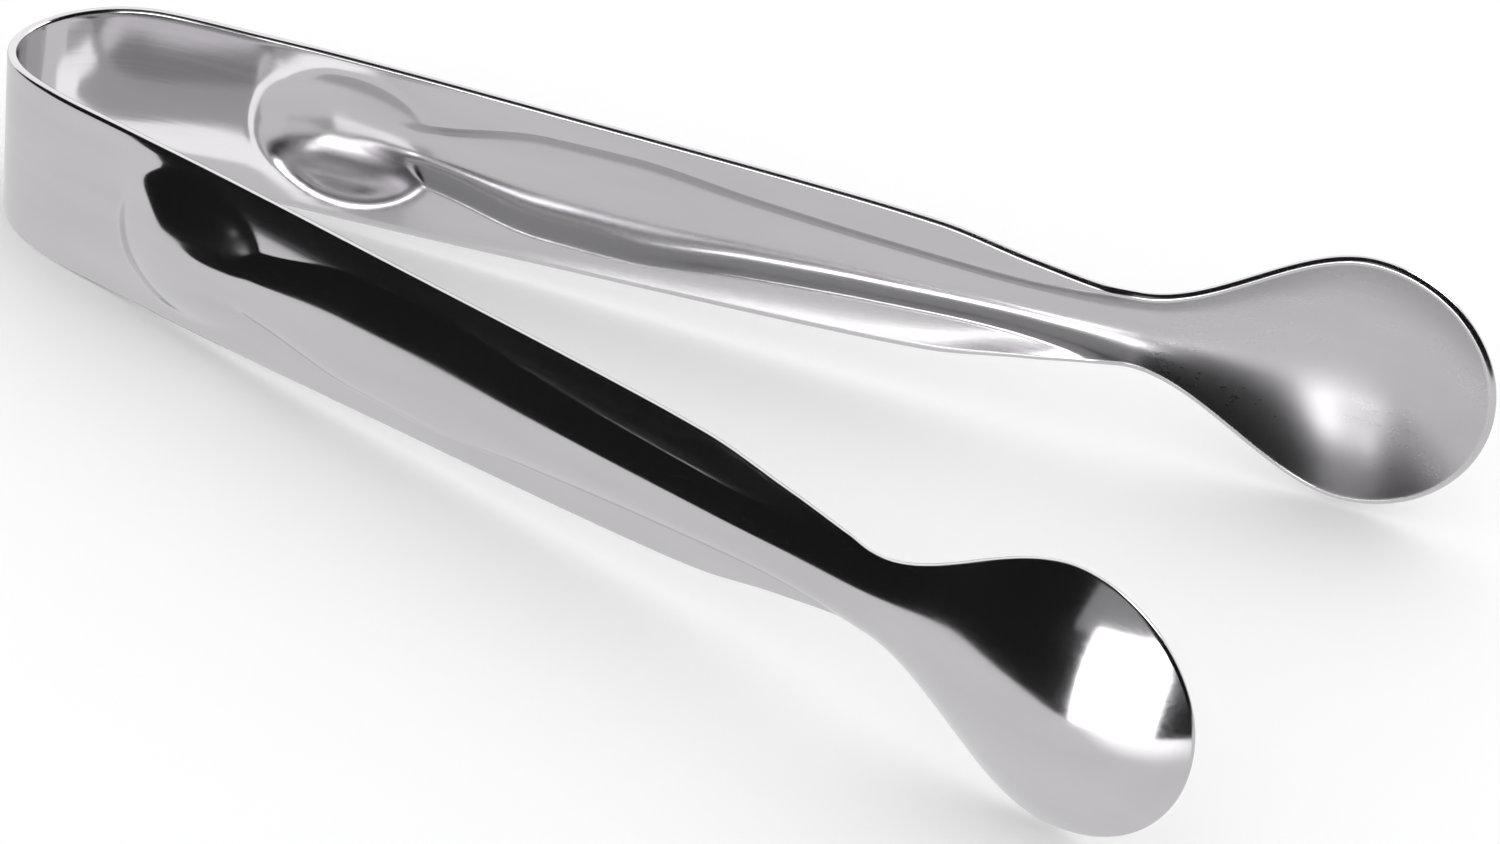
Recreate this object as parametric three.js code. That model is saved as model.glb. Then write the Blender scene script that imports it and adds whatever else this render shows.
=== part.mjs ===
// Spring ice tongs: one strip of stainless steel, pressed and bent into a bow with two arms.
// The strip is drawn as it lies flat (distance along it, height across it, pressed relief),
// then every point is carried onto the bent centre line. Each working zone of the strip is
// one mesh, with a fine saw-cut gap between zones so that they stay separate solids.
// Millimetres. +X runs from the bow to the bowls, +Z is up, and the arms are mirrored in Y.
import * as THREE from 'three';

// ---- driving dimensions ---------------------------------------------------------------
const THICKNESS = 1.0;           // sheet gauge
const ZONE_GAP = 0.3;            // clearance between neighbouring zones

const CROWN_LENGTH = 14;         // lengths along the strip, from the middle of the bow
const LEG_BEND_LENGTH = 3.5;     // the start of a leg, which still curves
const LEG_FLAT_LENGTH = 8;
const SHANK_LENGTH = 85.5;
const NECK_LENGTH = 18;
const BOWL_BACK_LENGTH = 14.7;   // from the neck to the bowl's widest place
const BOWL_FRONT_LENGTH = 14;    // from there to the tip

const BEND_LENGTH = 21.7;        // the bow's curvature fades out over this length
const ARM_LEAN = 9.4;            // degrees between a straight arm and the centre plane
const NECK_TOE_OUT = 4.5;        // degrees that the neck leans out more than the arm
const BOWL_TOE_IN = 1;           // degrees that the bowl leans in again past the arm's lean

const CROWN_HALF_WIDTH = 8.6;    // half height of the strip at the middle of the bow
const LEG_HALF_WIDTH = 9.6;      // half height of the strip on the bow's legs
const SHANK_HALF_WIDTH = 8.2;    // half height of a shank well towards the neck
const NECK_HALF_WIDTH = 4.3;     // half height of the strip at the neck
const BOWL_HALF_WIDTH = 13.9;    // half height of a bowl at its widest

const NOSE_HALF_LENGTH = 10;     // the thumb nose: a pressed dome with an oval foot
const NOSE_HALF_WIDTH = 7.4;
const NOSE_HEIGHT = 2;
const NOSE_SETBACK = 0.5;        // from the leg's flat to the foot of the nose
const NOSE_FULLNESS = 0.85;      // below 1 the dome is fuller than a paraboloid
const BEAD_START_HALF_WIDTH = 2.6;
const BEAD_WIDEST_HALF_WIDTH = 6.2;
const BEAD_SLIM_HALF_WIDTH = 3.3;
const BEAD_HEIGHT = 1.4;
const BEAD_FULLNESS = 2.7;       // above 2 the bead's crown is flatter than a parabola
const ARCH_HEIGHT = 1.2;
const BOWL_DEPTH = 5;            // depth of a bowl below its rim

// ---- places along the strip -----------------------------------------------------------
const CROWN_END = CROWN_LENGTH;
const LEG_FLAT_FROM = CROWN_END + LEG_BEND_LENGTH;
const LEG_END = LEG_FLAT_FROM + LEG_FLAT_LENGTH;
const SHANK_END = LEG_END + SHANK_LENGTH;
const NECK_END = SHANK_END + NECK_LENGTH;
const BOWL_WIDEST = NECK_END + BOWL_BACK_LENGTH;
const STRIP_LENGTH = BOWL_WIDEST + BOWL_FRONT_LENGTH;
const NOSE_CENTRE = LEG_END + NOSE_SETBACK + NOSE_HALF_LENGTH;

const shankAt = (share) => LEG_END + share * SHANK_LENGTH;
const neckAt = (share) => SHANK_END + share * NECK_LENGTH;
const bowlBackAt = (share) => NECK_END + share * BOWL_BACK_LENGTH;
const NARROWEST = neckAt(0.53);

// Pairs of [distance along the strip, value], joined by smooth steps.
const HEADINGS = [
  [shankAt(0.92), ARM_LEAN],
  [neckAt(0.61), ARM_LEAN + NECK_TOE_OUT],
  [bowlBackAt(0.27), ARM_LEAN + NECK_TOE_OUT],
  [BOWL_WIDEST, ARM_LEAN - BOWL_TOE_IN],
];
const HALF_WIDTHS = [
  [0, CROWN_HALF_WIDTH],
  [CROWN_END + LEG_BEND_LENGTH / 2, LEG_HALF_WIDTH],
  [shankAt(0.05), LEG_HALF_WIDTH],
  [shankAt(0.44), (LEG_HALF_WIDTH + SHANK_HALF_WIDTH) / 2],
  [shankAt(0.72), SHANK_HALF_WIDTH],
  [shankAt(0.87), 0.82 * SHANK_HALF_WIDTH + 0.18 * NECK_HALF_WIDTH],
  [shankAt(0.99), 0.36 * SHANK_HALF_WIDTH + 0.64 * NECK_HALF_WIDTH],
  [NARROWEST, NECK_HALF_WIDTH],
  [BOWL_WIDEST, BOWL_HALF_WIDTH],
];
// The bead is leaf-shaped. At the neck it spreads past the edges, so that its crease runs out.
const PAST_THE_EDGE = 1.1;
const BEAD_HALF_WIDTHS = [
  [NOSE_CENTRE, BEAD_START_HALF_WIDTH],
  [shankAt(0.24), 0.64 * BEAD_START_HALF_WIDTH + 0.36 * BEAD_WIDEST_HALF_WIDTH],
  [shankAt(0.38), 0.03 * BEAD_START_HALF_WIDTH + 0.97 * BEAD_WIDEST_HALF_WIDTH],
  [shankAt(0.485), BEAD_WIDEST_HALF_WIDTH],
  [shankAt(0.64), 0.55 * BEAD_WIDEST_HALF_WIDTH + 0.45 * BEAD_SLIM_HALF_WIDTH],
  [shankAt(0.8), 0.2 * BEAD_WIDEST_HALF_WIDTH + 0.8 * BEAD_SLIM_HALF_WIDTH],
  [shankAt(0.965), BEAD_SLIM_HALF_WIDTH],
  [neckAt(0.17), 0.8 * BEAD_SLIM_HALF_WIDTH + 0.2 * PAST_THE_EDGE * NECK_HALF_WIDTH],
  [NARROWEST, PAST_THE_EDGE * NECK_HALF_WIDTH],
  [BOWL_WIDEST, PAST_THE_EDGE * BOWL_HALF_WIDTH],
];
const BEAD_HEIGHTS = [
  [shankAt(0.02), 0],
  [shankAt(0.17), BEAD_HEIGHT],
  [shankAt(0.4), BEAD_HEIGHT],
  [shankAt(0.87), 0.86 * BEAD_HEIGHT],
  [NARROWEST, 0.7 * BEAD_HEIGHT],
  [BOWL_WIDEST, 0],
];
const ARCH_HEIGHTS = [
  [LEG_END, 0],
  [shankAt(0.04), ARCH_HEIGHT / 2],
  [shankAt(0.1), ARCH_HEIGHT],
  [NARROWEST, ARCH_HEIGHT],
  [BOWL_WIDEST, BOWL_DEPTH],
];

// ---- the flat strip -------------------------------------------------------------------
function smooth(t) {
  const c = Math.min(Math.max(t, 0), 1);
  return c * c * (3 - 2 * c);
}

// Monotone interpolation through the stations with level ends.
function along(stations, s) {
  const last = stations.length - 1;
  if (s <= stations[0][0]) return stations[0][1];
  if (s >= stations[last][0]) return stations[last][1];
  const k = stations.findIndex(([at]) => at > s) - 1;
  const slope = (i) => (stations[i + 1][1] - stations[i][1]) / (stations[i + 1][0] - stations[i][0]);
  const tangent = (i) => {
    if (i === 0 || i === last || slope(i - 1) * slope(i) <= 0) return 0;
    return 2 * slope(i - 1) * slope(i) / (slope(i - 1) + slope(i));
  };
  const run = stations[k + 1][0] - stations[k][0];
  const t = (s - stations[k][0]) / run;
  const blend = smooth(t);
  return stations[k][1] * (1 - blend) + stations[k + 1][1] * blend
    + run * t * (1 - t) * (tangent(k) * (1 - t) - tangent(k + 1) * t);
}

// Share of the bowl's front half that has been passed: 0 at the widest place, 1 at the tip.
function bowlShare(s) {
  return Math.min(Math.max((s - BOWL_WIDEST) / BOWL_FRONT_LENGTH, 0), 1);
}

function halfWidth(s) {
  return along(HALF_WIDTHS, s) * Math.sqrt(1 - bowlShare(s) ** 2);
}

const UNION_SHARPNESS = 4;       // how sharply the bead runs out of the nose
const LEAST_WIDTH = 1e-6;        // keeps the shares below finite at the tip

// How far the press pushes the sheet outwards at distance s and height z.
function relief(s, z) {
  const edge = Math.max(halfWidth(s), LEAST_WIDTH);
  const front = 1 - bowlShare(s) ** 2;
  const arch = along(ARCH_HEIGHTS, s) * front * (1 - Math.min((z / edge) ** 2, 1));
  const inNose = 1 - ((s - NOSE_CENTRE) / NOSE_HALF_LENGTH) ** 2 - (z / NOSE_HALF_WIDTH) ** 2;
  const nose = NOSE_HEIGHT * Math.max(inNose, 0) ** NOSE_FULLNESS;
  const crease = Math.min(along(BEAD_HALF_WIDTHS, s), PAST_THE_EDGE * edge);
  const inBead = 1 - Math.abs(z / crease) ** BEAD_FULLNESS;
  const bead = along(BEAD_HEIGHTS, s) * front * Math.max(inBead, 0);
  return arch + (nose ** UNION_SHARPNESS + bead ** UNION_SHARPNESS) ** (1 / UNION_SHARPNESS);
}

// ---- the bent centre line -------------------------------------------------------------
// Heading, in radians from +X: 90 degrees in the middle of the bow, then the arm's lean.
function heading(s) {
  const lean = THREE.MathUtils.degToRad(along(HEADINGS, s));
  const left = Math.max(1 - s / BEND_LENGTH, 0);
  return lean + (Math.PI / 2 - THREE.MathUtils.degToRad(ARM_LEAN)) * left * left;
}

const LINE_STEP = 0.1;
const centreLine = [new THREE.Vector2(0, 0)];
while ((centreLine.length - 1) * LINE_STEP < STRIP_LENGTH) {
  const here = centreLine[centreLine.length - 1];
  const turn = heading((centreLine.length - 0.5) * LINE_STEP);
  const step = new THREE.Vector2(Math.cos(turn), Math.sin(turn)).multiplyScalar(LINE_STEP);
  centreLine.push(here.clone().add(step));
}

// A point of the flat strip carried onto the bent line. Distances below zero are the right arm.
function bent(distance, z, lift) {
  const s = Math.abs(distance);
  const k = Math.min(Math.floor(s / LINE_STEP), centreLine.length - 2);
  const at = centreLine[k].clone().lerp(centreLine[k + 1], s / LINE_STEP - k);
  const turn = heading(s);
  const y = at.y + lift * Math.cos(turn);
  return new THREE.Vector3(at.x - lift * Math.sin(turn), distance < 0 ? -y : y, z);
}

const SLOPE_STEP = 0.02;         // the relief's slopes are measured over this distance

// The sheet's outer face (face = 1) or inner face (face = -1), half a gauge off the middle.
function facePoint(distance, z, face) {
  const s = Math.abs(distance);
  const d = SLOPE_STEP;
  // Next to an edge the slope across is measured on the edge's inner side only.
  const above = z > halfWidth(s) - d ? 0 : d;
  const below = z < d - halfWidth(s) ? 0 : d;
  const acrossRun = Math.max(above + below, LEAST_WIDTH);
  const alongSlope = (relief(s + d, z) - relief(s - d, z)) / (2 * d);
  const acrossSlope = (relief(s, z + above) - relief(s, z - below)) / acrossRun;
  const offset = face * THICKNESS / 2 / Math.hypot(1, alongSlope, acrossSlope);
  const shift = distance < 0 ? -1 : 1;
  return bent(distance - shift * alongSlope * offset, z - acrossSlope * offset, relief(s, z) + offset);
}

// ---- solids ---------------------------------------------------------------------------
const BEAD_COLUMNS = 0.6;        // share of the columns that lies on the bead
const BEAD_REACH = 0.8;          // and the share of the half width that they never pass

// Height of a column at distance s: the bead's crease always falls on a column.
function columnHeight(s, share) {
  const edge = halfWidth(s);
  const crease = Math.min(along(BEAD_HALF_WIDTHS, s), BEAD_REACH * edge);
  const r = Math.abs(share);
  if (r < BEAD_COLUMNS) return Math.sign(share) * crease * r / BEAD_COLUMNS;
  const beside = (r - BEAD_COLUMNS) / (1 - BEAD_COLUMNS);
  return Math.sign(share) * (crease + (edge - crease) * beside);
}

// A closed length of sheet through the given distances, with the given number of columns.
function sheet(distances, columns) {
  const rows = distances.length;
  const perFace = rows * (columns + 1);
  const positions = [];
  for (const face of [1, -1]) {
    for (const distance of distances) {
      for (let j = 0; j <= columns; j += 1) {
        const z = columnHeight(Math.abs(distance), 2 * j / columns - 1);
        positions.push(...facePoint(distance, z, face).toArray());
      }
    }
  }
  const triangles = [];
  const quad = (a, b, c, d) => triangles.push(a, b, c, a, c, d);
  const outer = (i, j) => i * (columns + 1) + j;
  const inner = (i, j) => perFace + outer(i, j);
  for (let i = 0; i < rows - 1; i += 1) {
    for (let j = 0; j < columns; j += 1) {
      quad(outer(i, j), outer(i, j + 1), outer(i + 1, j + 1), outer(i + 1, j));
      quad(inner(i, j), inner(i + 1, j), inner(i + 1, j + 1), inner(i, j + 1));
    }
    quad(outer(i, 0), outer(i + 1, 0), inner(i + 1, 0), inner(i, 0));
    quad(outer(i, columns), inner(i, columns), inner(i + 1, columns), outer(i + 1, columns));
  }
  for (let j = 0; j < columns; j += 1) {
    quad(outer(0, j), inner(0, j), inner(0, j + 1), outer(0, j + 1));
    quad(outer(rows - 1, j), outer(rows - 1, j + 1), inner(rows - 1, j + 1), inner(rows - 1, j));
  }
  const geometry = new THREE.BufferGeometry();
  geometry.setAttribute('position', new THREE.Float32BufferAttribute(positions, 3));
  geometry.setIndex(triangles);
  geometry.computeVertexNormals();
  return geometry;
}

function evenly(from, to, steps) {
  return Array.from({ length: steps + 1 }, (_, i) => from + (to - from) * i / steps);
}

const STEPS = { crown: 40, legBend: 3, shank: 44, neck: 8, bowlBack: 7, bowlFront: 11 };
const COLUMNS = { flat: 2, shank: 14, neck: 10, bowl: 14 };
const TIP_ANGLE = THREE.MathUtils.degToRad(86.5);   // just short of 90, where the width is nil

// Distances over a bowl: even up to its widest place, then closing in on the tip.
function bowlDistances(from) {
  const back = evenly(from, BOWL_WIDEST, STEPS.bowlBack);
  const turns = evenly(0, TIP_ANGLE, STEPS.bowlFront).slice(1);
  return [...back, ...turns.map((a) => BOWL_WIDEST + BOWL_FRONT_LENGTH * Math.sin(a))];
}

function steel(colour, roughness) {
  return new THREE.MeshStandardMaterial({ color: colour, roughness, metalness: 1 });
}

const strip = new THREE.Group();
function add(name, distances, columns, material) {
  const mesh = new THREE.Mesh(sheet(distances, columns), material);
  mesh.name = name;
  strip.add(mesh);
}

const half = ZONE_GAP / 2;
add('bow', evenly(half - CROWN_END, CROWN_END - half, STEPS.crown), COLUMNS.flat, steel(0xc4c2c0, 0.2));
for (const [side, sign] of [['left', 1], ['right', -1]]) {
  // The right arm is walked from its far end, so that its faces point outwards too.
  const walk = (distances) => (sign > 0 ? distances : distances.map((s) => -s).reverse());
  const zone = (from, to, steps) => walk(evenly(from + half, to - half, steps));
  const leg = [...evenly(CROWN_END + half, LEG_FLAT_FROM, STEPS.legBend), LEG_END - half];
  add(`${side}_leg`, walk(leg), COLUMNS.flat, steel(0xc6c4c2, 0.2));
  add(`${side}_shank`, zone(LEG_END, SHANK_END, STEPS.shank), COLUMNS.shank, steel(0xc2c1c0, 0.2));
  add(`${side}_neck`, zone(SHANK_END, NECK_END, STEPS.neck), COLUMNS.neck, steel(0xc0bfbe, 0.2));
  add(`${side}_bowl`, walk(bowlDistances(NECK_END + half)), COLUMNS.bowl, steel(0xc8c7c6, 0.15));
}

// ---- standing on a table --------------------------------------------------------------
// The tongs lie on their edge, on the bow's lower edge and on both bowls: the strip's centre
// line climbs towards the bowls, which are taller than the bow. A bowl's rim is cut square to
// its sloping wall, so its inner corner reaches a little past the half width.
const rimSlope = Math.atan(2 * BOWL_DEPTH / BOWL_HALF_WIDTH);
const bowlReach = BOWL_HALF_WIDTH + THICKNESS / 2 * Math.sin(rimSlope);
const legAt = centreLine[Math.round(LEG_FLAT_FROM / LINE_STEP)].x;
const bowlAt = centreLine[Math.round(BOWL_WIDEST / LINE_STEP)].x;
strip.rotation.y = -Math.atan((bowlReach - LEG_HALF_WIDTH) / (bowlAt - legAt));

const tongs = new THREE.Group();
tongs.name = 'ice_tongs';
tongs.add(strip);
tongs.updateMatrixWorld(true);
const box = new THREE.Box3().setFromObject(tongs, true);
strip.position.set(-(box.min.x + box.max.x) / 2, -(box.min.y + box.max.y) / 2, -box.min.z);

export default tongs;
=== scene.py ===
"""Spring ice tongs on a pale table, in a small studio.

The tongs are one strip of stainless sheet. Each half is made the way the real one is: a flat
blank is cut and pressed in mesh code, then a Geometry Nodes tree bends it round the bow.
"""

import math

import bpy
import numpy as np
from mathutils import Matrix, Vector


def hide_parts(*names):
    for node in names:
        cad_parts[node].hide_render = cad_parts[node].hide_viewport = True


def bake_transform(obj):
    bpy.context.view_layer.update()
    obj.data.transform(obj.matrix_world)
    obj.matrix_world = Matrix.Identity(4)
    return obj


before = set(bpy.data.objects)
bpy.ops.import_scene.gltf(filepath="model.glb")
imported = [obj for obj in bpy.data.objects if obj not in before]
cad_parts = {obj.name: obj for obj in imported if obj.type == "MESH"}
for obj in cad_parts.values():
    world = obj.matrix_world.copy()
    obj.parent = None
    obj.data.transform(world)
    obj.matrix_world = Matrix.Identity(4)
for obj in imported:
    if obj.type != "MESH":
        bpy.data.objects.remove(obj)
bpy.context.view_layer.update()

MM = 0.001
MICRON = 1e-6

# ---- sizes of the strip, in millimetres, as in the CAD part ----------------------------
THICKNESS = 1.0           # sheet gauge
EDGE_RADIUS = 0.35        # sheared edges, rounded by tumbling

CROWN_LENGTH = 14         # lengths along the strip, from the middle of the bow
LEG_BEND_LENGTH = 3.5     # the start of a leg, which still curves
LEG_FLAT_LENGTH = 8
SHANK_LENGTH = 85.5
NECK_LENGTH = 18
BOWL_BACK_LENGTH = 14.7   # from the neck to the bowl's widest place
BOWL_FRONT_LENGTH = 14    # from there to the tip

BEND_LENGTH = 21.7        # the bow's curvature fades out over this length
ARM_LEAN = 9.4            # degrees between a straight arm and the centre plane
NECK_TOE_OUT = 4.5        # degrees that the neck leans out more than the arm
BOWL_TOE_IN = 1           # degrees that the bowl leans in again past the arm's lean

CROWN_HALF_WIDTH = 8.6
LEG_HALF_WIDTH = 9.6
SHANK_HALF_WIDTH = 8.2
NECK_HALF_WIDTH = 4.3
BOWL_HALF_WIDTH = 13.9

NOSE_HALF_LENGTH = 10     # the thumb nose: a pressed dome with an oval foot
NOSE_HALF_WIDTH = 7.4
NOSE_HEIGHT = 2.0
NOSE_SETBACK = 0.5        # from the leg's flat to the foot of the nose
NOSE_FULLNESS = 0.85      # below 1 the dome is fuller than a paraboloid
BEAD_START_HALF_WIDTH = 2.6
BEAD_WIDEST_HALF_WIDTH = 6.2
BEAD_SLIM_HALF_WIDTH = 3.3
BEAD_HEIGHT = 1.4
BEAD_FULLNESS = 2.7       # above 2 the bead's crown is flatter than a parabola
ARCH_HEIGHT = 1.2
BOWL_DEPTH = 5.0
CREASE_SOFTNESS = 0.20    # share of the bead's height that its crease is rounded over
UNION_SHARPNESS = 4       # how sharply the bead runs out of the nose
GROOVE_DEPTH = 0.02       # a faint groove that the press leaves along the bead's crease
GROOVE_WIDTH = 0.25

# Places along the strip.
LEG_FLAT_FROM = CROWN_LENGTH + LEG_BEND_LENGTH
LEG_END = LEG_FLAT_FROM + LEG_FLAT_LENGTH
SHANK_END = LEG_END + SHANK_LENGTH
NECK_END = SHANK_END + NECK_LENGTH
BOWL_WIDEST = NECK_END + BOWL_BACK_LENGTH
STRIP_LENGTH = BOWL_WIDEST + BOWL_FRONT_LENGTH
NOSE_CENTRE = LEG_END + NOSE_SETBACK + NOSE_HALF_LENGTH


def shank_at(share):
    return LEG_END + share * SHANK_LENGTH


def neck_at(share):
    return SHANK_END + share * NECK_LENGTH


NARROWEST = neck_at(0.53)
PAST_THE_EDGE = 1.1       # at the neck the bead spreads past the edges, so its crease runs out

# Pairs of (distance along the strip, value), joined by smooth steps.
HEADINGS = (
    (shank_at(0.92), ARM_LEAN),
    (neck_at(0.61), ARM_LEAN + NECK_TOE_OUT),
    (NECK_END + 0.27 * BOWL_BACK_LENGTH, ARM_LEAN + NECK_TOE_OUT),
    (BOWL_WIDEST, ARM_LEAN - BOWL_TOE_IN),
)
HALF_WIDTHS = (
    (0, CROWN_HALF_WIDTH),
    (CROWN_LENGTH + LEG_BEND_LENGTH / 2, LEG_HALF_WIDTH),
    (shank_at(0.05), LEG_HALF_WIDTH),
    (shank_at(0.44), (LEG_HALF_WIDTH + SHANK_HALF_WIDTH) / 2),
    (shank_at(0.72), SHANK_HALF_WIDTH),
    (shank_at(0.87), 0.82 * SHANK_HALF_WIDTH + 0.18 * NECK_HALF_WIDTH),
    (shank_at(0.99), 0.36 * SHANK_HALF_WIDTH + 0.64 * NECK_HALF_WIDTH),
    (NARROWEST, NECK_HALF_WIDTH),
    (BOWL_WIDEST, BOWL_HALF_WIDTH),
)
BEAD_HALF_WIDTHS = (
    (NOSE_CENTRE, BEAD_START_HALF_WIDTH),
    (shank_at(0.24), 0.64 * BEAD_START_HALF_WIDTH + 0.36 * BEAD_WIDEST_HALF_WIDTH),
    (shank_at(0.38), 0.03 * BEAD_START_HALF_WIDTH + 0.97 * BEAD_WIDEST_HALF_WIDTH),
    (shank_at(0.485), BEAD_WIDEST_HALF_WIDTH),
    (shank_at(0.64), 0.55 * BEAD_WIDEST_HALF_WIDTH + 0.45 * BEAD_SLIM_HALF_WIDTH),
    (shank_at(0.8), 0.2 * BEAD_WIDEST_HALF_WIDTH + 0.8 * BEAD_SLIM_HALF_WIDTH),
    (shank_at(0.965), BEAD_SLIM_HALF_WIDTH),
    (neck_at(0.17), 0.8 * BEAD_SLIM_HALF_WIDTH + 0.2 * PAST_THE_EDGE * NECK_HALF_WIDTH),
    (NARROWEST, PAST_THE_EDGE * NECK_HALF_WIDTH),
    (BOWL_WIDEST, PAST_THE_EDGE * BOWL_HALF_WIDTH),
)
BEAD_HEIGHTS = (
    (shank_at(0.02), 0),
    (shank_at(0.17), BEAD_HEIGHT),
    (shank_at(0.4), BEAD_HEIGHT),
    (shank_at(0.87), 0.86 * BEAD_HEIGHT),
    (NARROWEST, 0.7 * BEAD_HEIGHT),
    (BOWL_WIDEST, 0),
)
ARCH_HEIGHTS = (
    (LEG_END, 0),
    (shank_at(0.04), ARCH_HEIGHT / 2),
    (shank_at(0.1), ARCH_HEIGHT),
    (NARROWEST, ARCH_HEIGHT),
    (BOWL_WIDEST, BOWL_DEPTH),
)
GROOVE_DEPTHS = (
    (shank_at(0.2), 0),
    (shank_at(0.28), GROOVE_DEPTH),
    (shank_at(0.87), GROOVE_DEPTH),
    (neck_at(0.17), 0),
)


# ---- the pressed blank -----------------------------------------------------------------
def along(stations, s):
    """Monotone interpolation through the stations with level ends."""
    at, value = np.array(stations, float).T
    slope = np.diff(value) / np.diff(at)
    tangent = np.zeros(len(at))
    for i in range(1, len(at) - 1):
        if slope[i - 1] * slope[i] > 0:
            tangent[i] = 2 * slope[i - 1] * slope[i] / (slope[i - 1] + slope[i])
    s = np.clip(s, at[0], at[-1])
    k = np.clip(np.searchsorted(at, s, side="right") - 1, 0, len(at) - 2)
    run = at[k + 1] - at[k]
    t = (s - at[k]) / run
    step = t * t * (3 - 2 * t)
    rise = tangent[k] * (1 - t) - tangent[k + 1] * t
    return value[k] * (1 - step) + value[k + 1] * step + run * t * (1 - t) * rise


def bowl_share(s):
    """0 at the bowl's widest place, 1 at its tip."""
    return np.clip((s - BOWL_WIDEST) / BOWL_FRONT_LENGTH, 0, 1)


def half_width(s):
    return along(HALF_WIDTHS, s) * np.sqrt(1 - bowl_share(s) ** 2)


def rounded_step(q):
    """The larger of q and 0, with the corner between them rounded."""
    k = CREASE_SOFTNESS
    h = np.clip(0.5 + 0.5 * q / k, 0, 1)
    return q * h + k * h * (1 - h)


def relief(s, z):
    """How far the press pushes the sheet outwards at distance s and height z."""
    edge = np.maximum(half_width(s), 1e-6)
    front = 1 - bowl_share(s) ** 2
    arch = along(ARCH_HEIGHTS, s) * front * (1 - np.minimum((z / edge) ** 2, 1))
    inside = 1 - ((s - NOSE_CENTRE) / NOSE_HALF_LENGTH) ** 2 - (z / NOSE_HALF_WIDTH) ** 2
    dome = rounded_step(inside) ** NOSE_FULLNESS
    crease = np.minimum(along(BEAD_HALF_WIDTHS, s), PAST_THE_EDGE * edge)
    bead = along(BEAD_HEIGHTS, s) * front * rounded_step(1 - np.abs(z / crease) ** BEAD_FULLNESS)
    p = UNION_SHARPNESS
    groove = along(GROOVE_DEPTHS, s) * np.exp(-(((np.abs(z) - crease) / GROOVE_WIDTH) ** 2))
    return arch + ((NOSE_HEIGHT * dome) ** p + bead**p) ** (1 / p) - groove


SLOPE_STEP = 0.01


def sheet_normal(s, z):
    """Slopes of the relief along and across the strip, and the length of (1, slope, slope)."""
    d = SLOPE_STEP
    along_slope = (relief(s + d, z) - relief(s - d, z)) / (2 * d)
    across_slope = (relief(s, z + d) - relief(s, z - d)) / (2 * d)
    return along_slope, across_slope, np.sqrt(1 + along_slope**2 + across_slope**2)


ROW_STEP = 0.4            # spacing of the rows along the strip
TIP_ROWS = 60             # rows from the bowl's widest place to its tip
COLUMNS = 80              # across the strip, closer together along the bead's crease
BEAD_COLUMNS = 0.6        # share of the columns that lies on the bead
WIDEST_BEAD_COLUMNS = 0.8  # share of the half width that they keep inside, where the bead is wider
CROWDING = 1.4            # 1 would space the columns evenly
# Points round the rim: 1 by the outer face and -1 by the inner one, and the angle in degrees.
RIM_POINTS = ((1, 60), (1, 30), (1, 0), (-1, 0), (-1, -30), (-1, -60))


def outline():
    """The blank's outline: distance, half width, and the outward direction in the flat."""
    back = np.linspace(0, BOWL_WIDEST, round(BOWL_WIDEST / ROW_STEP) + 1)
    d = SLOPE_STEP
    widening = (half_width(back + d) - half_width(np.maximum(back - d, 0))) / (2 * d)
    widening[0] = widening[-1] = 0
    turn = np.linspace(0, math.pi / 2, TIP_ROWS + 1)[1:]
    s = np.concatenate([back, BOWL_WIDEST + BOWL_FRONT_LENGTH * np.sin(turn)])
    z = np.concatenate([half_width(back), BOWL_HALF_WIDTH * np.cos(turn)])
    out_s = np.concatenate([-widening, np.sin(turn) / BOWL_FRONT_LENGTH])
    out_z = np.concatenate([np.ones_like(back), np.cos(turn) / BOWL_HALF_WIDTH])
    length = np.hypot(out_s, out_z)
    return s, z, out_s / length, out_z / length


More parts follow.
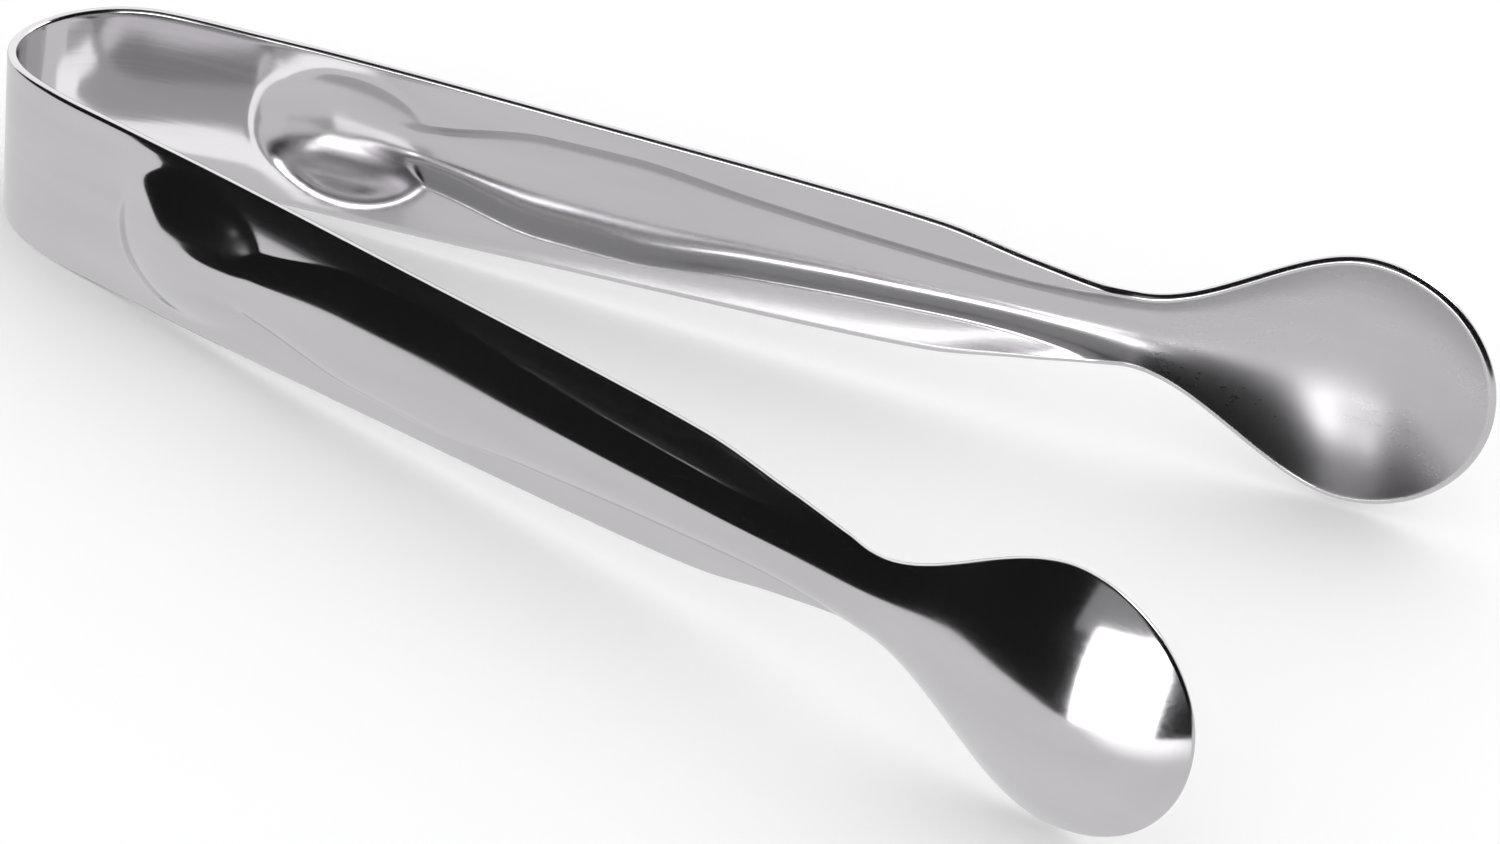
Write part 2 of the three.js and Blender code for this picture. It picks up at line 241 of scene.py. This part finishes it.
def pressed_blank():
    """Half a strip, pressed but not yet bent: X along it, Y outwards, Z up. Returns the points
    in millimetres, the faces, and for each face 0 on the outer side, 1 on the rim, 2 inside."""
    s, z, out_s, out_z = outline()
    s_in, z_in = s - EDGE_RADIUS * out_s, z - EDGE_RADIUS * out_z
    rows = len(s) - 1                                   # the last one is the tip
    share = np.linspace(-1, 1, COLUMNS + 1)
    crease = np.minimum(along(BEAD_HALF_WIDTHS, s_in), WIDEST_BEAD_COLUMNS * z_in)[:rows, None]
    before = np.clip(1 - np.abs(share) / BEAD_COLUMNS, 0, 1) ** CROWDING
    after = np.clip((np.abs(share) - BEAD_COLUMNS) / (1 - BEAD_COLUMNS), 0, 1) ** CROWDING
    on_bead = crease * (1 - before)
    beside = crease + (z_in[:rows, None] - crease) * after
    height = np.sign(share) * np.where(np.abs(share) < BEAD_COLUMNS, on_bead, beside)
    distance = np.repeat(s_in[:rows, None], COLUMNS + 1, axis=1)

    def offset(at_s, at_z, by):
        a, b, n = sheet_normal(at_s, at_z)
        return np.stack([at_s - a * by / n, relief(at_s, at_z) + by / n, at_z - b * by / n], -1)

    def rim(at_s, at_z, o_s, o_z):
        """The rounded edge from the outer face round to the inner face, without those two."""
        a, b, n = sheet_normal(at_s, at_z)
        rise = a * o_s + b * o_z
        size = np.sqrt(1 + rise**2)
        points = []
        for face, degrees in RIM_POINTS:
            angle = math.radians(degrees)
            reach = EDGE_RADIUS * math.cos(angle) / size
            up = face * (THICKNESS / 2 - EDGE_RADIUS) + EDGE_RADIUS * math.sin(angle)
            points.append(np.stack([
                at_s + o_s * reach - a * up / n,
                relief(at_s, at_z) + rise * reach + up / n,
                at_z + o_z * reach - b * up / n,
            ], -1))
        return np.stack(points, -2)

    outer = offset(distance, height, THICKNESS / 2)
    inner = offset(distance, height, -THICKNESS / 2)
    poles = np.stack([offset(s_in[-1], 0.0, side * THICKNESS / 2) for side in (1, -1)])
    top = rim(s_in[:rows], z_in[:rows], out_s[:rows], out_z[:rows])
    bottom = rim(s_in[:rows], -z_in[:rows], out_s[:rows], -out_z[:rows])
    tip = rim(s_in[-1:], np.zeros(1), np.ones(1), np.zeros(1))
    ring = top.shape[1]
    blocks = [outer, inner, poles, top, bottom, tip]
    starts = np.cumsum([0] + [block.reshape(-1, 3).shape[0] for block in blocks])
    points = np.concatenate([block.reshape(-1, 3) for block in blocks])

    def grid(start, width):
        return lambda i, j: int(start + i * width + j)

    out_at, in_at = grid(starts[0], COLUMNS + 1), grid(starts[1], COLUMNS + 1)
    pole_out, pole_in = int(starts[2]), int(starts[2]) + 1
    top_at, bottom_at = grid(starts[3], ring), grid(starts[4], ring)

    def edge_profile(i, up):
        """The rim's points on row i, from the outer face to the inner face."""
        if i == rows:
            return [pole_out, *range(int(starts[5]), int(starts[5]) + ring), pole_in]
        at, j = (top_at, COLUMNS) if up else (bottom_at, 0)
        return [out_at(i, j), *(at(i, k) for k in range(ring)), in_at(i, j)]

    faces, sides = [], []

    def add(side, *corners):
        faces.append(corners)
        sides.append(side)

    for i in range(rows - 1):
        for j in range(COLUMNS):
            add(0, out_at(i, j), out_at(i, j + 1), out_at(i + 1, j + 1), out_at(i + 1, j))
            add(2, in_at(i, j), in_at(i + 1, j), in_at(i + 1, j + 1), in_at(i, j + 1))
    for j in range(COLUMNS):
        add(0, out_at(rows - 1, j), out_at(rows - 1, j + 1), pole_out)
        add(2, in_at(rows - 1, j + 1), in_at(rows - 1, j), pole_in)
    for i in range(rows):
        for up in (True, False):
            here, there = edge_profile(i, up), edge_profile(i + 1, up)
            for k in range(ring + 1):
                quad = (here[k], here[k + 1], there[k + 1], there[k])
                add(1, *(quad if up else reversed(quad)))
    for j in range(COLUMNS):                            # the cut in the middle of the bow
        add(1, out_at(0, j + 1), out_at(0, j), in_at(0, j), in_at(0, j + 1))
    add(1, *reversed(edge_profile(0, True)))
    add(1, *edge_profile(0, False))
    return points, faces, sides


# ---- the bent centre line --------------------------------------------------------------
LINE_STEP = 0.1


def centre_line():
    """Points of the bow and one arm's centre line, in millimetres, a little past the tip."""
    middle = (np.arange(round(STRIP_LENGTH / LINE_STEP) + 10) + 0.5) * LINE_STEP
    left = np.maximum(1 - middle / BEND_LENGTH, 0)
    heading = np.radians(along(HEADINGS, middle) + (90 - ARM_LEAN) * left**2)
    steps = LINE_STEP * np.stack([np.cos(heading), np.sin(heading)], -1)
    return np.concatenate([[[0, 0]], np.cumsum(steps, axis=0)])


line = centre_line()


def line_at(s):
    k = s / LINE_STEP
    return Vector((np.interp(k, np.arange(len(line)), line[:, 0]),
                   np.interp(k, np.arange(len(line)), line[:, 1])))


# The tongs lie on edge, on the bow's lower edge and both bowls, so the strip climbs a little.
rim_slope = math.atan(2 * BOWL_DEPTH / BOWL_HALF_WIDTH)
bowl_reach = BOWL_HALF_WIDTH + THICKNESS / 2 * math.sin(rim_slope)
footing = line_at(BOWL_WIDEST).x - line_at(LEG_FLAT_FROM).x
TILT = math.atan((bowl_reach - LEG_HALF_WIDTH) / footing)
BOW_MIDDLE = Vector((-74.616, 0, 9.247))                # in the frame, in millimetres


# ---- Blender helpers -------------------------------------------------------------------
def srgb(code):
    """A hex colour as linear RGBA."""
    values = [int(code[i:i + 2], 16) / 255 for i in (1, 3, 5)]
    return (*(v / 12.92 if v <= 0.04045 else ((v + 0.055) / 1.055) ** 2.4 for v in values), 1)


def node(tree, kind, inputs=None, **settings):
    """Adds a node with its settings. Each input is given a value or another node's socket."""
    made = tree.nodes.new(kind)
    for name, value in settings.items():
        setattr(made, name, value)
    for name, value in (inputs or {}).items():
        if isinstance(value, bpy.types.NodeSocket):
            tree.links.new(value, made.inputs[name])
        else:
            made.inputs[name].default_value = value
    return made


def new_material(name):
    material = bpy.data.materials.new(name)
    material.use_nodes = True
    material.node_tree.nodes.clear()
    return material, material.node_tree


# Marks on the metal: length along the strip and width across it in mm, and noise detail.
MARKS = {
    "grain": (14, 0.3, 3.0),        # polishing lines; real ones are finer than can show
    "smears": (22, 5, 2.0),         # where the wheel bore harder
    "peel": (1.6, 1.6, 1.0),        # the slight orange peel that tumbling leaves
    "waves": (16, 9, 0.0),          # the press leaves the sheet a little uneven
}
ROUGHENED_BY = {"grain": 0.08, "smears": 0.10, "rim": 0.06}
PEEL_HEIGHT = 0.9               # in microns
WAVE_HEIGHT = 16.0
SMEARED_GREY = "#A09D9E"
SMEAR_STRENGTH = 0.3            # share of that grey where the smears are strongest


def stainless(name, colour, crown_roughness, changes, grain_height):
    """18/0 stainless sheet. The marks of the finishing follow the strip, whose flat coordinates
    in metres are kept on the metal as the attribute strip. Changes are (from, to, amount):
    the roughness rises by that amount between those distances, in mm. Heights are in microns."""
    material, tree = new_material(name)
    strip = node(tree, "ShaderNodeAttribute", attribute_name="strip").outputs["Vector"]
    distance = node(tree, "ShaderNodeSeparateXYZ", {"Vector": strip}).outputs["X"]
    marks = {}
    for mark, (length, width, detail) in MARKS.items():
        per_metre = (1000 / length, 1000 / width, 1000 / width)
        stretched = node(tree, "ShaderNodeVectorMath", {0: strip, 1: per_metre}, operation="MULTIPLY")
        noise = node(tree, "ShaderNodeTexNoise",
                     {"Vector": stretched.outputs[0], "Scale": 1.0, "Detail": detail})
        marks[mark] = noise.outputs["Fac"]
    marks["rim"] = node(tree, "ShaderNodeAttribute", attribute_name="rim").outputs["Fac"]

    # Grain and smears swing to both sides of the plain value, so half of each is taken off.
    roughness = crown_roughness - 0.5 * (ROUGHENED_BY["grain"] + ROUGHENED_BY["smears"])
    for start, end, amount in changes:
        change = node(tree, "ShaderNodeMapRange",
                      {"Value": distance, "From Min": start * MM, "From Max": end * MM,
                       "To Max": amount}, interpolation_type="SMOOTHSTEP")
        roughness = node(tree, "ShaderNodeMath", {0: change.outputs[0], 1: roughness}).outputs[0]
    for mark, amount in ROUGHENED_BY.items():
        roughness = node(tree, "ShaderNodeMath", {0: marks[mark], 1: amount, 2: roughness},
                         operation="MULTIPLY_ADD").outputs[0]
    height = 0.0
    for mark, microns in (("grain", grain_height), ("peel", PEEL_HEIGHT), ("waves", WAVE_HEIGHT)):
        height = node(tree, "ShaderNodeMath", {0: marks[mark], 1: microns, 2: height},
                      operation="MULTIPLY_ADD").outputs[0]
    dull = node(tree, "ShaderNodeMath", {0: marks["smears"], 1: SMEAR_STRENGTH}, operation="MULTIPLY")
    shade = node(tree, "ShaderNodeMix", {0: dull.outputs[0], 6: srgb(colour), 7: srgb(SMEARED_GREY)},
                 data_type="RGBA")
    bump = node(tree, "ShaderNodeBump", {"Height": height, "Distance": MICRON})
    shader = node(tree, "ShaderNodeBsdfPrincipled",
                  {"Base Color": shade.outputs[2], "Metallic": 1.0, "Roughness": roughness,
                   "Normal": bump.outputs[0]})
    node(tree, "ShaderNodeOutputMaterial", {"Surface": shader.outputs[0]})
    return material


def polished_stainless():
    """The outside: wheel polished, then tumbled. A near mirror with soft lengthwise smears."""
    return stainless("polished_stainless_sheet", "#D8D6D9", 0.11, ((112, 130, 0.01),), 0.35)


def satin_stainless():
    """The inside, which the wheel hardly reaches: duller along the arms, and satin in the bowls."""
    return stainless("satin_stainless_sheet", "#D4D2D5", 0.12, ((20, 34, 0.05), (112, 130, 0.12)), 1.4)


# ---- bending the blank -----------------------------------------------------------------
def bending_tree():
    """Carries a pressed blank onto the bent centre line and stands it on the table."""
    tree = bpy.data.node_groups.new("bend_strip", "GeometryNodeTree")
    face = tree.interface
    face.new_socket("Geometry", in_out="OUTPUT", socket_type="NodeSocketGeometry")
    for name, kind in (
        ("Blank", "Geometry"), ("Centre Line", "Object"), ("Side", "Float"), ("Tilt", "Float"),
        ("Bow Middle", "Vector"), ("Outer Steel", "Material"), ("Inner Steel", "Material"),
    ):
        face.new_socket(name, in_out="INPUT", socket_type=f"NodeSocket{kind}")
    given = node(tree, "NodeGroupInput").outputs
    place = node(tree, "GeometryNodeInputPosition").outputs[0]
    # The blank's own coordinates stay on the metal, for marks that run along the strip.
    kept = node(tree, "GeometryNodeStoreNamedAttribute",
                {"Geometry": given["Blank"], "Name": "strip", "Value": place},
                data_type="FLOAT_VECTOR", domain="POINT")
    flat = node(tree, "ShaderNodeSeparateXYZ", {"Vector": place}).outputs
    path = node(tree, "GeometryNodeObjectInfo", {"Object": given["Centre Line"]})
    sample = node(tree, "GeometryNodeSampleCurve",
                  {"Curves": path.outputs["Geometry"], "Length": flat["X"]},
                  mode="LENGTH", use_all_curves=True)
    tangent = node(tree, "ShaderNodeVectorMath", {0: sample.outputs["Tangent"]}, operation="NORMALIZE")
    outward = node(tree, "ShaderNodeVectorMath", {0: (0, 0, 1), 1: tangent.outputs[0]},
                   operation="CROSS_PRODUCT")
    lift = node(tree, "ShaderNodeVectorMath", {0: outward.outputs[0], "Scale": flat["Y"]},
                operation="SCALE")
    bent = node(tree, "ShaderNodeVectorMath",
                {0: sample.outputs["Position"], 1: lift.outputs[0]}, operation="ADD")
    parts = node(tree, "ShaderNodeSeparateXYZ", {"Vector": bent.outputs[0]}).outputs
    across = node(tree, "ShaderNodeMath", {0: parts["Y"], 1: given["Side"]}, operation="MULTIPLY")
    target = node(tree, "ShaderNodeCombineXYZ",
                  {"X": parts["X"], "Y": across.outputs[0], "Z": flat["Z"]})
    moved = node(tree, "GeometryNodeSetPosition",
                 {"Geometry": kept.outputs[0], "Position": target.outputs[0]})
    mirrored = node(tree, "FunctionNodeCompare", {"A": given["Side"]},
                    data_type="FLOAT", operation="LESS_THAN")
    flipped = node(tree, "GeometryNodeFlipFaces",
                   {"Mesh": moved.outputs[0], "Selection": mirrored.outputs[0]})
    turn = node(tree, "ShaderNodeMath", {0: given["Tilt"], 1: -1.0}, operation="MULTIPLY")
    angles = node(tree, "ShaderNodeCombineXYZ", {"Y": turn.outputs[0]})
    stood = node(tree, "GeometryNodeTransform",
                 {"Geometry": flipped.outputs[0], "Translation": given["Bow Middle"],
                  "Rotation": angles.outputs[0]})
    real = node(tree, "GeometryNodeRealizeInstances", {0: stood.outputs[0]})
    outer = node(tree, "GeometryNodeSetMaterial",
                 {"Geometry": real.outputs[0], "Material": given["Outer Steel"]})
    hollow = node(tree, "GeometryNodeInputNamedAttribute", {"Name": "inner_face"}, data_type="BOOLEAN")
    inner = node(tree, "GeometryNodeSetMaterial",
                 {"Geometry": outer.outputs[0], "Material": given["Inner Steel"],
                  "Selection": hollow.outputs["Attribute"]})
    node(tree, "NodeGroupOutput", {0: inner.outputs[0]})
    return tree


def line_object():
    curve = bpy.data.curves.new("centre_line", "CURVE")
    curve.dimensions = "3D"
    spline = curve.splines.new("POLY")
    spline.points.add(len(line) - 1)
    for point, (x, y) in zip(spline.points, line * MM):
        point.co = (x, y, 0, 1)
    made = bpy.data.objects.new("centre_line", curve)
    bpy.context.scene.collection.objects.link(made)
    return made


def blank_object(name):
    points, faces, sides = pressed_blank()
    mesh = bpy.data.meshes.new(name)
    mesh.from_pydata((points * MM).tolist(), [], faces)
    mesh.shade_smooth()
    hollow = mesh.attributes.new("inner_face", "BOOLEAN", "FACE")
    hollow.data.foreach_set("value", [side == 2 for side in sides])
    rim = mesh.attributes.new("rim", "FLOAT", "POINT")
    on_rim = np.zeros(len(points))
    for corners, side in zip(faces, sides):
        if side == 1:
            on_rim[list(corners)] = 1
    rim.data.foreach_set("value", on_rim)
    # The cut in the middle of the bow keeps sharp edges, so that the two halves meet unseen.
    sharp = mesh.attributes.new("sharp_edge", "BOOLEAN", "EDGE")
    at_cut = np.abs(points[:, 0]) < 1e-6
    ends = np.zeros(len(mesh.edges) * 2, int)
    mesh.edges.foreach_get("vertices", ends)
    sharp.data.foreach_set("value", at_cut[ends].reshape(-1, 2).all(axis=1))
    made = bpy.data.objects.new(name, mesh)
    bpy.context.scene.collection.objects.link(made)
    return made


def bend(blank, tree, values):
    """Runs the tree on a blank and leaves the result as a plain mesh at the origin."""
    modifier = blank.modifiers.new("bend_strip", "NODES")
    modifier.node_group = tree
    sockets = {i.name: i.identifier for i in tree.interface.items_tree if i.in_out == "INPUT"}
    for name, value in values.items():
        modifier[sockets[name]] = value
    bpy.context.view_layer.update()
    evaluated = blank.evaluated_get(bpy.context.evaluated_depsgraph_get())
    mesh = bpy.data.meshes.new_from_object(evaluated)
    mesh.name = blank.name
    blank.modifiers.remove(modifier)
    blank.data = mesh


outer_steel, inner_steel = polished_stainless(), satin_stainless()
path = line_object()
tree = bending_tree()
for side, sign in (("left", 1.0), ("right", -1.0)):
    half = blank_object(f"{side}_half")
    bend(half, tree, {
        "Centre Line": path, "Side": sign, "Tilt": TILT, "Bow Middle": BOW_MIDDLE * MM,
        "Outer Steel": outer_steel, "Inner Steel": inner_steel,
    })
    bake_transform(half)
    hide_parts("bow", *(f"{side}_{zone}" for zone in ("leg", "shank", "neck", "bowl")))
bpy.data.objects.remove(path)

# ---- camera ----------------------------------------------------------------------------
# It looks down on the tongs from in front of the right arm, and is turned a little in the hand.
CAMERA_AT = Vector((0.2123, -0.4528, 0.3236))
LENS = 143.3
AZIMUTH, ELEVATION, ROLL = (math.radians(a) for a in (23.9, 32.68, 8.35))
forward = Vector((-math.sin(AZIMUTH) * math.cos(ELEVATION),
                  math.cos(AZIMUTH) * math.cos(ELEVATION),
                  -math.sin(ELEVATION)))
level = forward.cross(Vector((0, 0, 1))).normalized()
upright = level.cross(forward)
right = level * math.cos(ROLL) + upright * math.sin(ROLL)
up = upright * math.cos(ROLL) - level * math.sin(ROLL)
camera_data = bpy.data.cameras.new("camera")
camera_data.sensor_width = 36
camera_data.lens = LENS
camera = bpy.data.objects.new("camera", camera_data)
camera.matrix_world = Matrix((
    (right.x, up.x, -forward.x, CAMERA_AT.x),
    (right.y, up.y, -forward.y, CAMERA_AT.y),
    (right.z, up.z, -forward.z, CAMERA_AT.z),
    (0, 0, 0, 1),
))
bpy.context.scene.collection.objects.link(camera)
bpy.context.scene.camera = camera

# ---- table and light -------------------------------------------------------------------
TABLE_REACH = 3
floor_mesh = bpy.data.meshes.new("table_top")
floor_mesh.from_pydata([(x * TABLE_REACH, y * TABLE_REACH, 0)
                        for x, y in ((-1, -1), (1, -1), (1, 1), (-1, 1))], [], [(0, 1, 2, 3)])
floor = bpy.data.objects.new("table_top", floor_mesh)
bpy.context.scene.collection.objects.link(floor)
floor.visible_glossy = False
material, floor_tree = new_material("white_laminate")
shader = node(floor_tree, "ShaderNodeBsdfPrincipled",
              {"Base Color": srgb("#F7F7F7"), "Roughness": 0.7})
node(floor_tree, "ShaderNodeOutputMaterial", {"Surface": shader.outputs[0]})
floor_mesh.materials.append(material)

# The room: an even white dome lights everything, but the steel mirrors a dark studio in which
# only the reflectors below are bright.
DOME = 1.1
DARK_ROOM = 0.012
world = bpy.data.worlds.new("studio")
bpy.context.scene.world = world
world.use_nodes = True
sky = world.node_tree
sky.nodes.clear()
white = (1, 1, 1, 1)
dome = node(sky, "ShaderNodeBackground", {"Color": white, "Strength": DOME})
dark = node(sky, "ShaderNodeBackground", {"Color": white, "Strength": DARK_ROOM})
seen = node(sky, "ShaderNodeLightPath").outputs
mixed = node(sky, "ShaderNodeMixShader",
             {0: seen["Is Glossy Ray"], 1: dome.outputs[0], 2: dark.outputs[0]})
node(sky, "ShaderNodeOutputWorld", {"Surface": mixed.outputs[0]})


def reflector(name, corners, strength, light_pools=()):
    """A flat light in the studio that is only seen mirrored in the steel. Light pools are painted
    light on it, round and soft: (x, y, radius, added strength)."""
    material, tree = new_material(name)
    material.cycles.emission_sampling = "NONE"
    place = node(tree, "ShaderNodeTexCoord").outputs["Object"]
    for x, y, radius, added in light_pools:
        gap = node(tree, "ShaderNodeVectorMath", {0: place, 1: (x, y, 0)}, operation="DISTANCE")
        spot = node(tree, "ShaderNodeMapRange",
                    {"Value": gap.outputs["Value"], "From Min": radius, "From Max": radius / 2,
                     "To Max": added}, interpolation_type="SMOOTHSTEP")
        strength = node(tree, "ShaderNodeMath", {0: spot.outputs[0], 1: strength}).outputs[0]
    emission = node(tree, "ShaderNodeEmission", {"Strength": strength})
    node(tree, "ShaderNodeOutputMaterial", {"Surface": emission.outputs[0]})
    mesh = bpy.data.meshes.new(name)
    mesh.from_pydata(corners, [], [tuple(range(len(corners)))])
    mesh.materials.append(material)
    made = bpy.data.objects.new(name, mesh)
    bpy.context.scene.collection.objects.link(made)
    made.visible_camera = made.visible_diffuse = made.visible_shadow = False
    made.visible_transmission = made.visible_volume_scatter = False


def seen_from_tongs(bearing, height, away):
    """The place in that direction from the tongs, in degrees, at that distance in metres."""
    a, h = math.radians(bearing), math.radians(height)
    return (away * math.cos(h) * math.cos(a), away * math.cos(h) * math.sin(a), away * math.sin(h))


def on_table(level, *corners):
    """Corners given in millimetres, that far below the table top, so that cards can overlap."""
    return [(x * MM, y * MM, -level * MM) for x, y in corners]


# On the table: a white card that ends just in front of the tongs, with two painted pools of
# light near the bowls, their own shade between the legs of the bow painted as a dimmer card,
# and the light that falls in between them painted as a brighter one.
reflector("white_card",
          on_table(0.2, (-300, -54), (-50, -56), (-15, -60), (30, -70), (300, -73), (300, 600),
                   (-300, 600)),
          0.80, light_pools=[(0.080, -0.074, 0.022, 0.8), (0.078, -0.020, 0.016, 0.8)])
reflector("bow_shade",
          on_table(0.1, (-73, -2), (-70, -8), (-62, -11), (-50, -13.5), (-40, -15), (-40, -2),
                   (-55, 3), (-73, 3)),
          0.47)
reflector("bow_glint",
          on_table(0, (-69, -1), (-60, -2), (-56, -1.5), (-53.5, -3.5), (-53.5, -10.5),
                   (-47, -11.5), (-46, 0), (-49, 4.5), (-62, 4.5), (-69, 2)),
          1.35)
# Round the tongs: the softbox in front, its spill on the wall above it, a second softbox high
# up behind, and a white wall.
reflector("softbox",
          [(-0.20, -1.02, -0.8), (0.44, -1.02, -0.8), (0.44, -1.02, 0.08), (0.35, -1.02, 0.36),
           (-0.20, -1.02, 0.36)],
          5.0)
reflector("softbox_spill",
          [(-0.42, -1.04, 0.30), (0.36, -1.04, 0.30), (0.24, -1.04, 1.8), (-0.42, -1.04, 1.8)],
          0.32)
reflector("back_softbox",
          [seen_from_tongs(*corner, 1.2) for corner in ((35, 38), (75, 38), (75, 62), (35, 62))],
          9.0)
reflector("white_wall",
          [(-4.6, 0.45, -2.0), (4.0, 3.2, -2.0), (4.0, 3.2, 3.6), (-4.6, 0.45, 3.6)],
          1.25)

bpy.context.scene.view_settings.view_transform = "Standard"
